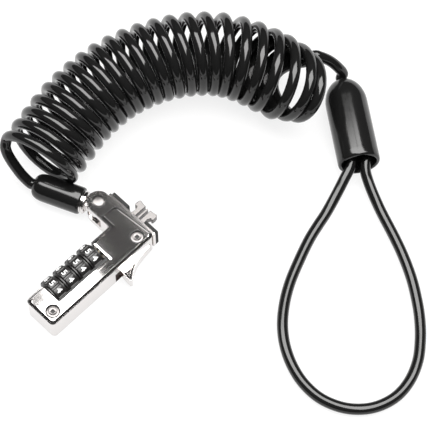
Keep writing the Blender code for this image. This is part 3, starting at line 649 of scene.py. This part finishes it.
def make_dials(plastic, paint):
    for k, x in enumerate(DIAL_X):
        profile = [(2.95, -2.42), (4.1, -2.42), (4.28, -2.3), (4.32, -1.95), (4.6, -1.8), (4.72, -1.6),
                   (4.72, 1.6), (4.6, 1.8), (4.32, 1.95), (4.28, 2.3), (4.1, 2.42), (2.95, 2.42)]
        shape = aim(turned(profile, 60, closed=True), (x, DIAL_Y, DIAL_Z), (1, 0, 0))
        for n in range(DIGITS):
            angle = REST_TILT + SECTOR * n
            place = dial_frame(x, angle)
            rings = []
            for half_up, half_across, z in ((1.85, 1.28, -0.75), (1.82, 1.22, -0.25), (1.72, 1.14, -0.08),
                                            (1.58, 1.0, 0.0)):
                ring = []
                for px, py in rounded([(-half_across, -half_up), (half_across, -half_up),
                                       (half_across, half_up), (-half_across, half_up)], 0.45, 4):
                    bulge = math.sqrt(max(DIAL_RADIUS ** 2 - px ** 2, 0)) - DIAL_RADIUS
                    ring.append(place @ Vector((px, py, z + bulge)))
                rings.append(ring)
            shape = merge(shape, loft(rings))
        dial = finish_mesh("dial_wheel_%d" % (k + 1), shape, plastic, "dial_unit_%d" % (k + 1), 40.0)
        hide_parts("dial_%d" % (k + 1))
        marks = bmesh.new()
        for n in range(DIGITS):
            digit = digit_shape((REST_DIGIT + n) % DIGITS, DIGIT_HEIGHT)
            bmesh.ops.scale(digit, vec=DIGIT_STRETCH, verts=digit.verts)
            bmesh.ops.transform(digit, matrix=dial_frame(x, REST_TILT + SECTOR * n), verts=digit.verts)
            marks = merge(marks, digit)
        finish_mesh("dial_digits_%d" % (k + 1), marks, paint, "dial_unit_%d" % (k + 1))


# --------------------------------------------------------------------- trigger

def make_trigger(chrome, slot_painted_shade):
    outline = [(7.2, -4.8), (7.2, -6.3), (6.9, -9.2), (6.85, -10.6), (7.1, -11.05), (7.5, -11.1)]
    outline += [(8.1, -10.75), (8.9, -10.1), (9.9, -9.25), (11.1, -8.5), (12.6, -7.85), (14.4, -7.3),
                (16.4, -6.95), (18.2, -6.7), (19.9, -6.55), (19.9, -4.8)]
    trigger = finish_mesh("trigger_lever", prism(outline, 1.0, 5.3), chrome, None)
    # A thin dark red-brown sheet at the back of the trigger's slot: painted shade in the slot
    finish_mesh("trigger_slot_shade", block((4.95, -4.72, 0.7), (7.4, -4.62, 5.55)), slot_painted_shade, "lock_head")
    boolean(trigger, prism([(8.2, -7.2), (8.0, -9.3), (9.6, -8.3), (11.6, -7.4)], 4.95, 6.0))
    set_material(trigger, chrome)
    soften(trigger, 0.16, 2, 40.0)
    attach(trigger, "trigger_unit")
    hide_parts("trigger")


def make_anchor(satin):
    for name, side in (("jaw_arm", 1), ("jaw_corner", -1)):
        outline = [
            (14.3, 0.9), (17.2, 0.9), (18.0, 1.1), (28.5, 1.1), (28.6, 1.3), (28.55, 2.2),
            (28.9, 3.5), (28.6, 3.95), (27.7, 4.15), (26.6, 4.1), (26.3, 3.7),
            (26.6, 3.2), (26.3, 2.95), (25.4, 2.6), (24.4, 2.75), (22.0, 2.85), (18.0, 2.95),
            (17.2, 3.3), (14.3, 3.3),
        ]
        points = [(x, ANCHOR_Y + side * y) for x, y in outline]
        jaw = finish_mesh(name + "_hook", prism(points, ANCHOR_Z - 1.3, ANCHOR_Z + 1.3), satin, None)
        boolean(jaw, cylinder((JAW_PIN_X, ANCHOR_Y + side * JAW_PIN_OFFSET), 0.85, 2.0, 8.0, 24))
        set_material(jaw, satin)
        soften(jaw, 0.18, 3, 40.0)
        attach(jaw, name + "_unit")
        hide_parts(name)
    outline = [(13.5, -0.35), (28.0, -0.35), (28.4, -0.12), (28.4, 0.12), (28.0, 0.35), (13.5, 0.35)]
    points = [(x, ANCHOR_Y + y) for x, y in outline]
    blade = finish_mesh("blade", prism(points, ANCHOR_Z - 1.15, ANCHOR_Z + 1.15), satin, None)
    soften(blade, 0.08, 2, 40.0)
    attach(blade, "trigger_unit")
    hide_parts("spreader_blade")


# ------------------------------------------------------------------ cable parts

def make_swivel(chrome):
    outline = arc((0.0, 0.0), 3.4, 34.0, 326.0, 40) + [(4.1, -1.9), (4.1, 1.9)]
    tang = prism(outline, -2.05, 2.05)
    place = Matrix.Translation((PIVOT.x, PIVOT.y, SWIVEL_Z)) @ Matrix.Rotation(SWIVEL, 4, "Z")
    bmesh.ops.transform(tang, matrix=place, verts=tang.verts)
    item = finish_mesh("tang", tang, chrome, None)
    boolean(item, cylinder(PIVOT, 1.75, 1.0, 9.0))
    set_material(item, chrome)
    soften(item, 0.15, 2, 40.0)
    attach(item, "cable")
    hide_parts("swivel_tang")
    profile = [(2.6, 0.0), (3.3, 0.05), (3.7, 0.35), (3.78, 0.7), (3.7, 1.05), (3.55, 1.2),
               (3.75, 1.35), (3.75, 1.7), (3.0, 1.72)]
    collar = aim(turned(profile, 64), swivel(FERRULE_FOOT), SWIVEL_WAY)
    ring = finish_mesh("ferrule_ring", collar, chrome, "cable", 50.0)
    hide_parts("ferrule")


def make_sleeves(plastic):
    length = SLEEVE_END - SLEEVE_FOOT
    r = SLEEVE_RADIUS
    profile = [(2.0, 0.05), (r - 0.75, 0.0), (r - 0.35, 0.12), (r - 0.1, 0.4), (r, 0.9),
               (r + 0.02, length * 0.4), (r, length - 4.2),
               (r - 0.06, length - 3.2), (r - 0.2, length - 2.3), (r - 0.5, length - 1.4),
               (r - 0.95, length - 0.7), (r - 1.5, length - 0.25), (r - 2.1, length),
               (r - 2.45, length - 0.02), (CORD + 0.12, length - 0.3), (CORD + 0.12, length - 5.0)]
    body = aim(turned(profile, 72), swivel(SLEEVE_FOOT), SWIVEL_WAY)
    sleeve = finish_mesh("lock_sleeve", body, plastic, "cable", 60.0)
    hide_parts("cable_sleeve")

    axis = LOOP_SLEEVE_MOUTH - LOOP_SLEEVE_TOP
    length = axis.length
    r = LOOP_SLEEVE_RADIUS
    profile = [(CORD + 0.1, 4.0), (CORD + 0.1, 0.4)]
    for step in range(2, 11):
        turn = math.radians(9.0 * step)
        profile.append((r * math.sin(turn), LOOP_SLEEVE_DOME * (1 - math.cos(turn))))
    profile += [(r, length - 3.0), (r - 0.03, length - 1.0), (r - 0.15, length - 0.4),
                (r - 0.45, length - 0.08), (r - 0.8, length), (r - 1.1, length - 0.1),
                (r - 1.25, length - 0.5), (r - 1.3, 8.0), (r - 2.5, 5.0)]
    body = aim(turned(profile, 80, closed=True), LOOP_SLEEVE_TOP, axis)
    loop_sleeve = finish_mesh("end_sleeve", body, plastic, "cable", 60.0)
    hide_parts("loop_sleeve")
    return loop_sleeve


def nearest(curve, point):
    return min(range(len(curve)), key=lambda i: (curve[i] - point).length)


def make_cords(jacket):
    coil = coil_points()
    start = [swivel(17.0), swivel(19.0), swivel(SLEEVE_END), swivel(24.0)]
    way = (LOOP_SLEEVE_MOUTH - LOOP_SLEEVE_TOP).normalized()
    lead = catmull(start + LEAD + coil[:3], 10)
    cut = nearest(lead, coil[0])
    inside = [LOOP_SLEEVE_TOP + way * distance for distance in (-1.0, 1.5, 4.0)]
    leave = catmull(coil[-3:] + EXIT + inside, 10)
    first = nearest(leave, coil[-1])
    points = lead[:cut] + coil + leave[first + 1:]
    cable = tube("coiled_cable", points, CORD, jacket, "cable")
    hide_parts("lead_cord", "coil_cord", "exit_cord")

    across = Vector((way.y, -way.x, 0.0)) * LOOP_LEG_OFFSET
    foot = LOOP_SLEEVE_MOUTH - way * 4.0
    ends = [foot + across, foot - across]
    route = [ends[0], ends[0] + way * 2.0] + LOOP + [ends[1] + way * 2.0, ends[1]]
    loop_points = even(catmull(route, 8), LOOP_SAMPLES)
    loop = tube("loop_cable", loop_points, CORD, jacket, "cable")
    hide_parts("loop_cord")


# ---------------------------------------------------------------------- set

def make_stage():
    material, nodes, links, shader = new_material("floor_paper")
    shader.inputs["Base Color"].default_value = (FLOOR_BASE, FLOOR_BASE, FLOOR_BASE, 1.0)
    shader.inputs["Roughness"].default_value = 0.9
    shader.inputs["Specular IOR Level"].default_value = 0.1
    shader.inputs["Emission Color"].default_value = (1.0, 1.0, 1.0, 1.0)
    shader.inputs["Emission Strength"].default_value = FLOOR_GLOW
    add_noise_bump(nodes, links, shader, 60.0, 0.02)
    shape = block((-FLOOR_HALF, -FLOOR_HALF, -3.0), (FLOOR_HALF, FLOOR_HALF, -0.08))
    floor = finish_mesh("floor", shape, material, None)


def make_world():
    world = bpy.data.worlds.new("studio")
    world.use_nodes = True
    bpy.context.scene.world = world
    nodes = world.node_tree.nodes
    links = world.node_tree.links
    background = nodes["Background"]
    coords = nodes.new("ShaderNodeTexCoord")
    split = nodes.new("ShaderNodeSeparateXYZ")
    links.new(coords.outputs["Generated"], split.inputs["Vector"])

    def window(socket, low, high, soft):
        """1 between low and high, falling off over a soft width."""
        up = nodes.new("ShaderNodeMapRange")
        up.interpolation_type = "SMOOTHSTEP"
        up.inputs["From Min"].default_value = low - soft[0]
        up.inputs["From Max"].default_value = low + soft[0]
        links.new(socket, up.inputs["Value"])
        down = nodes.new("ShaderNodeMapRange")
        down.interpolation_type = "SMOOTHSTEP"
        down.inputs["From Min"].default_value = high - soft[1]
        down.inputs["From Max"].default_value = high + soft[1]
        down.inputs["To Min"].default_value = 1.0
        down.inputs["To Max"].default_value = 0.0
        links.new(socket, down.inputs["Value"])
        return times(up.outputs["Result"], down.outputs["Result"])

    def combine(operation, a, b):
        node = nodes.new("ShaderNodeMath")
        node.operation = operation
        for socket, value in zip(node.inputs, (a, b)):
            if isinstance(value, float):
                socket.default_value = value
            else:
                links.new(value, socket)
        return node.outputs[0]

    def times(a, b):
        return combine("MULTIPLY", a, b)

    def plus(a, b):
        return combine("ADD", a, b)

    x, y, z = split.outputs["X"], split.outputs["Y"], split.outputs["Z"]
    above = window(z, 0.0, 2.0, (0.02, 0.1))
    across = plus(times(x, BOX_ACROSS[0]), times(y, BOX_ACROSS[1]))
    box = times(times(window(x, *BOX_X, (0.03, 0.03)), window(y, *BOX_Y, (0.04, 0.03))), above)
    box = times(box, window(across, -1.0, BOX_ACROSS_END, (0.03, 0.012)))
    edges = (CARD_EDGE, CARD_EDGE)
    card = times(window(x, *CARD_X, edges), window(y, *CARD_Y, edges))
    corner = times(window(x, *CORNER_X, edges), window(y, *CORNER_Y, (0.0008, CARD_EDGE)))
    cards = plus(times(card, -1.0), times(corner, -0.95))
    total = times(times(box, plus(cards, 1.0)), BOX_RADIANCE)
    level = nodes.new("ShaderNodeMapRange")
    level.inputs["From Min"].default_value = 0.1
    level.inputs["From Max"].default_value = 0.95
    level.inputs["To Min"].default_value = SKY[0]
    level.inputs["To Max"].default_value = SKY[1]
    links.new(z, level.inputs["Value"])
    total = plus(total, level.outputs["Result"])
    links.new(total, background.inputs["Strength"])
    background.inputs["Color"].default_value = (1.0, 0.995, 0.985, 1.0)


def make_lights():
    for name, place, power in FILLS:
        data = bpy.data.lights.new(name, "AREA")
        data.energy = power
        data.shape = "RECTANGLE"
        data.size = FILL_SIZE * MM
        data.size_y = FILL_SIZE * MM
        item = bpy.data.objects.new(name, data)
        bpy.context.scene.collection.objects.link(item)
        item.location = P(place)
        item.rotation_mode = "QUATERNION"
        item.rotation_quaternion = (P(FILL_AIM) - P(place)).to_track_quat("-Z", "Y")
        item.visible_glossy = False


def make_camera():
    data = bpy.data.cameras.new("camera")
    data.lens = CAMERA_LENS
    data.sensor_width = 36.0
    data.clip_start = 0.01
    data.clip_end = 20.0
    item = bpy.data.objects.new("camera", data)
    bpy.context.scene.collection.objects.link(item)
    back = Vector((math.sin(CAMERA_AZIMUTH) * math.cos(CAMERA_ELEVATION),
                   -math.cos(CAMERA_AZIMUTH) * math.cos(CAMERA_ELEVATION), math.sin(CAMERA_ELEVATION)))
    item.location = P(CAMERA_TARGET + back * CAMERA_DISTANCE)
    item.rotation_mode = "QUATERNION"
    item.rotation_quaternion = (-back).to_track_quat("-Z", "Y")
    bpy.context.scene.camera = item


def paint_nodes(table):
    """CAD nodes that are kept get the finer materials."""
    for item in bpy.context.scene.objects:
        for name, material in table.items():
            if item.type == "MESH" and item.name == name:
                set_material(item, material)


chrome = metal("chrome_plate", (0.74, 0.715, 0.705), 0.02, 0.035, strength=0.008)
satin = metal("satin_nickel", (0.14, 0.133, 0.131), 0.2, 0.28, 1500.0, 0.03)
steel = metal("satin_steel", (0.55, 0.54, 0.52), 0.22, 0.36, 1500.0, 0.08)
brass = metal("turned_brass", (0.78, 0.60, 0.30), 0.2, 0.3)
dial_plastic = polymer("dial_plastic", (0.012, 0.011, 0.011), 0.28, 0.4)
sleeve_plastic = polymer("sleeve_plastic", (0.006, 0.006, 0.006), 0.12, 0.18)
jacket = polymer("jacket_pvc", (0.006, 0.006, 0.006), 0.07, 0.12)
rubber = polymer("matte_rubber", (0.015, 0.015, 0.015), 0.6, 0.8, 0.3)
paint = polymer("white_paint", (0.85, 0.85, 0.85), 0.4, 0.5)
# Painted shade: near-black for the joint round the plateau, the window's lower step and the wells round the
# screws and rivet
dark = polymer("shadow_gap", (0.01, 0.01, 0.01), 0.5, 0.6)
# Painted shade for the trigger's slot, a dark red-brown
slot_painted_shade = polymer("slot_painted_shade", (0.05, 0.018, 0.014), 0.5, 0.6)

make_shell(chrome)
make_plateau(chrome, dark)
make_screws(satin, dark)
make_rivet(satin, dark)
make_face_parts(chrome, rubber)
make_dials(dial_plastic, paint)
make_trigger(chrome, slot_painted_shade)
make_anchor(satin)
make_swivel(chrome)
end_sleeve = make_sleeves(sleeve_plastic)
make_cords(jacket)
steel_nodes = ["detent_spring", "jaw_pin_arm", "jaw_pin_corner", "carriage", "spindle",
               "trigger_spring", "loop_crimp"]
steel_nodes += ["code_cam_%d" % (k + 1) for k in range(len(DIAL_X))]
paint_nodes({name: steel for name in steel_nodes})
paint_nodes({"spindle_bush_foot": brass, "spindle_bush_tip": brass})
make_stage()
make_world()
make_lights()
make_camera()
bpy.context.scene.view_settings.view_transform = "Standard"
